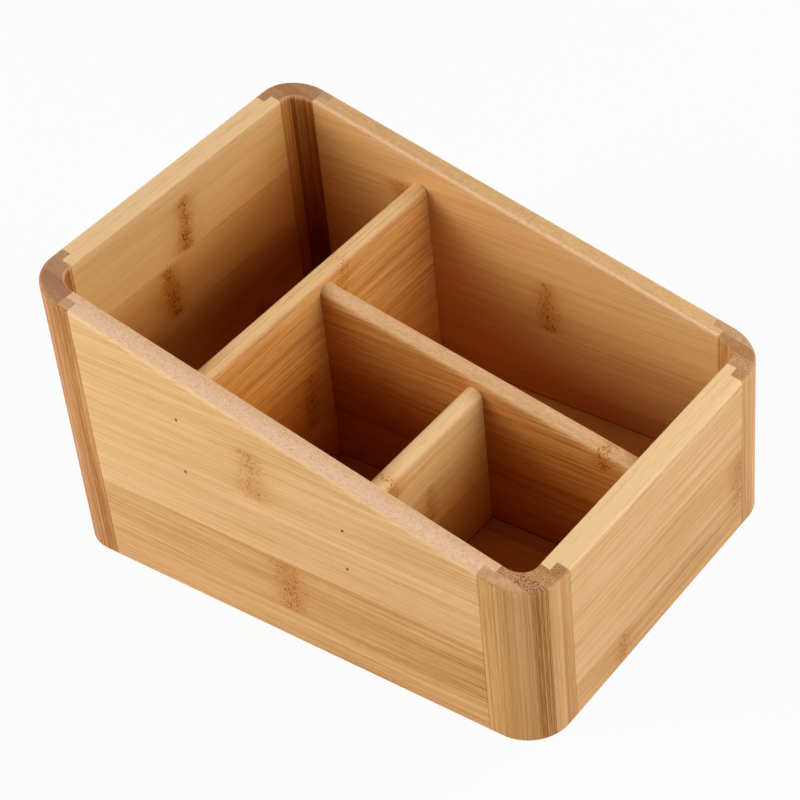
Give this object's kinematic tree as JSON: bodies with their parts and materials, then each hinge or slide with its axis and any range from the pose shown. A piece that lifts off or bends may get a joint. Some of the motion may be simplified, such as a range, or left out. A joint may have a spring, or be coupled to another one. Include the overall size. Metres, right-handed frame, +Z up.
{
  "type": "desk organizer box",
  "caption": "Open bamboo organizer box with a rim that slopes from a tall end to a low end, rounded lapped corner posts and nailed dividers for remotes, pens and small desk things.",
  "frame": {"origin": "middle of the footprint, on the table under the box", "axes": "+X runs from the tall end to the low end, +Z is up, and the near side wall with the short divider is at -Y"},
  "size_m": [0.2, 0.145, 0.1141],
  "materials": {
    "post_bamboo": "satin lacquer, darker carbonized strips",
    "wall_bamboo": "satin lacquer, honey tan",
    "divider_bamboo": "satin lacquer, honey tan",
    "floor_bamboo": "satin lacquer",
    "brad_steel": "plain"
  },
  "bodies": {
    "root": {"tall_near_post": "post_bamboo", "tall_far_post": "post_bamboo", "low_near_post": "post_bamboo", "low_far_post": "post_bamboo", "tall_end_wall": "wall_bamboo", "low_end_wall": "wall_bamboo", "near_side_wall": "wall_bamboo", "far_side_wall": "wall_bamboo", "floor_panel": "floor_bamboo", "cross_divider": "divider_bamboo", "long_divider": "divider_bamboo", "short_divider": "divider_bamboo", "cross_divider_near_brads": "brad_steel", "cross_divider_far_brads": "brad_steel", "short_divider_near_brads": "brad_steel", "short_divider_far_brads": "brad_steel", "long_divider_low_end_brads": "brad_steel", "long_divider_cross_brads": "brad_steel"}
  },
  "joints": []
}
